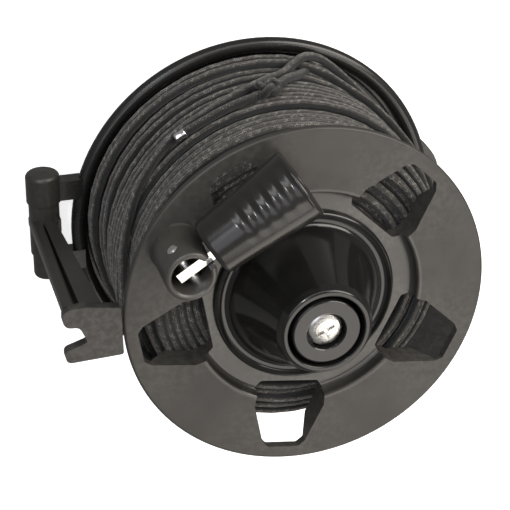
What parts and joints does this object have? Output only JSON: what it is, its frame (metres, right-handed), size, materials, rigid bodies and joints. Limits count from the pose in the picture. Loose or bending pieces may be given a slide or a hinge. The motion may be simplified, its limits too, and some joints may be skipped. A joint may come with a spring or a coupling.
{
  "type": "hand-crank cord reel",
  "caption": "Hand-crank reel of black braided cord with a windowed front flange, folding handle, dished back plate and hinged side guide.",
  "frame": {"origin": "on the spool axis, on the flat back face of the back plate", "axes": "+Z along the spool axis from the back face towards the crank, +X away from the side guide, +Y the way the picture shows as up"},
  "size_m": [0.1561, 0.1382, 0.0975],
  "materials": {
    "flange_plastic": "satin dark grey moulded nylon with a fine grain",
    "frame_plastic": "black moulded nylon, semi-gloss",
    "gloss_plastic": "black high-gloss moulded plastic",
    "guide_plastic": "satin dark grey moulded nylon",
    "barrel_plastic": "dark grey moulded nylon",
    "steel": "plain ground steel",
    "zinc": "bright zinc plate",
    "spring_steel": "dark spring steel",
    "bronze": "oiled sintered bronze",
    "fibre": "pressed brown fibre",
    "cord": "black braided polyester with a grey fleck",
    "cord_tip": "crimped plain metal end"
  },
  "bodies": {
    "frame": {"back_plate": "frame_plastic", "axle": "steel", "axle_screws": "zinc", "guide_pin": "steel", "retaining_cap": "gloss_plastic", "cap_screw": "zinc", "pressure_washer": "steel", "drag_spring": "spring_steel", "drag_washer": "fibre"},
    "spool": {"front_flange": "flange_plastic", "spool_barrel": "barrel_plastic", "rear_flange": "barrel_plastic", "hub_dome": "gloss_plastic", "front_bush": "bronze", "rear_bush": "bronze", "front_flange_screws": "zinc", "rear_flange_screws": "zinc", "handle_post": "gloss_plastic", "post_screw": "zinc", "hinge_pin": "steel", "wound_cord": "cord", "cord_tail": "cord", "cord_knot": "cord", "cord_end": "cord_tip"},
    "handle": {"handle_shank": "steel", "shank_collar": "steel", "shank_washer": "steel"},
    "grip": {"grip": "gloss_plastic"},
    "guide": {"line_guide": "guide_plastic"}
  },
  "joints": [
    {"name": "spool_spin", "type": "hinge", "parent": "frame", "child": "spool", "pos_m": [0, 0, 0], "axis": [0, 0, 1], "continuous": true},
    {"name": "handle_fold", "type": "hinge", "parent": "spool", "child": "handle", "pos_m": [-0.04244, 0.0245, 0.0856], "axis": [0.549, -0.8358, 0], "range_deg": [0, 90]},
    {"name": "grip_spin", "type": "hinge", "parent": "handle", "child": "grip", "pos_m": [-0.04244, 0.0245, 0.0856], "axis": [0.8358, 0.549, 0], "continuous": true},
    {"name": "guide_swing", "type": "hinge", "parent": "frame", "child": "guide", "pos_m": [-0.0734, 0, 0.007], "axis": [0, -1, 0], "range_deg": [0, 90]}
  ]
}
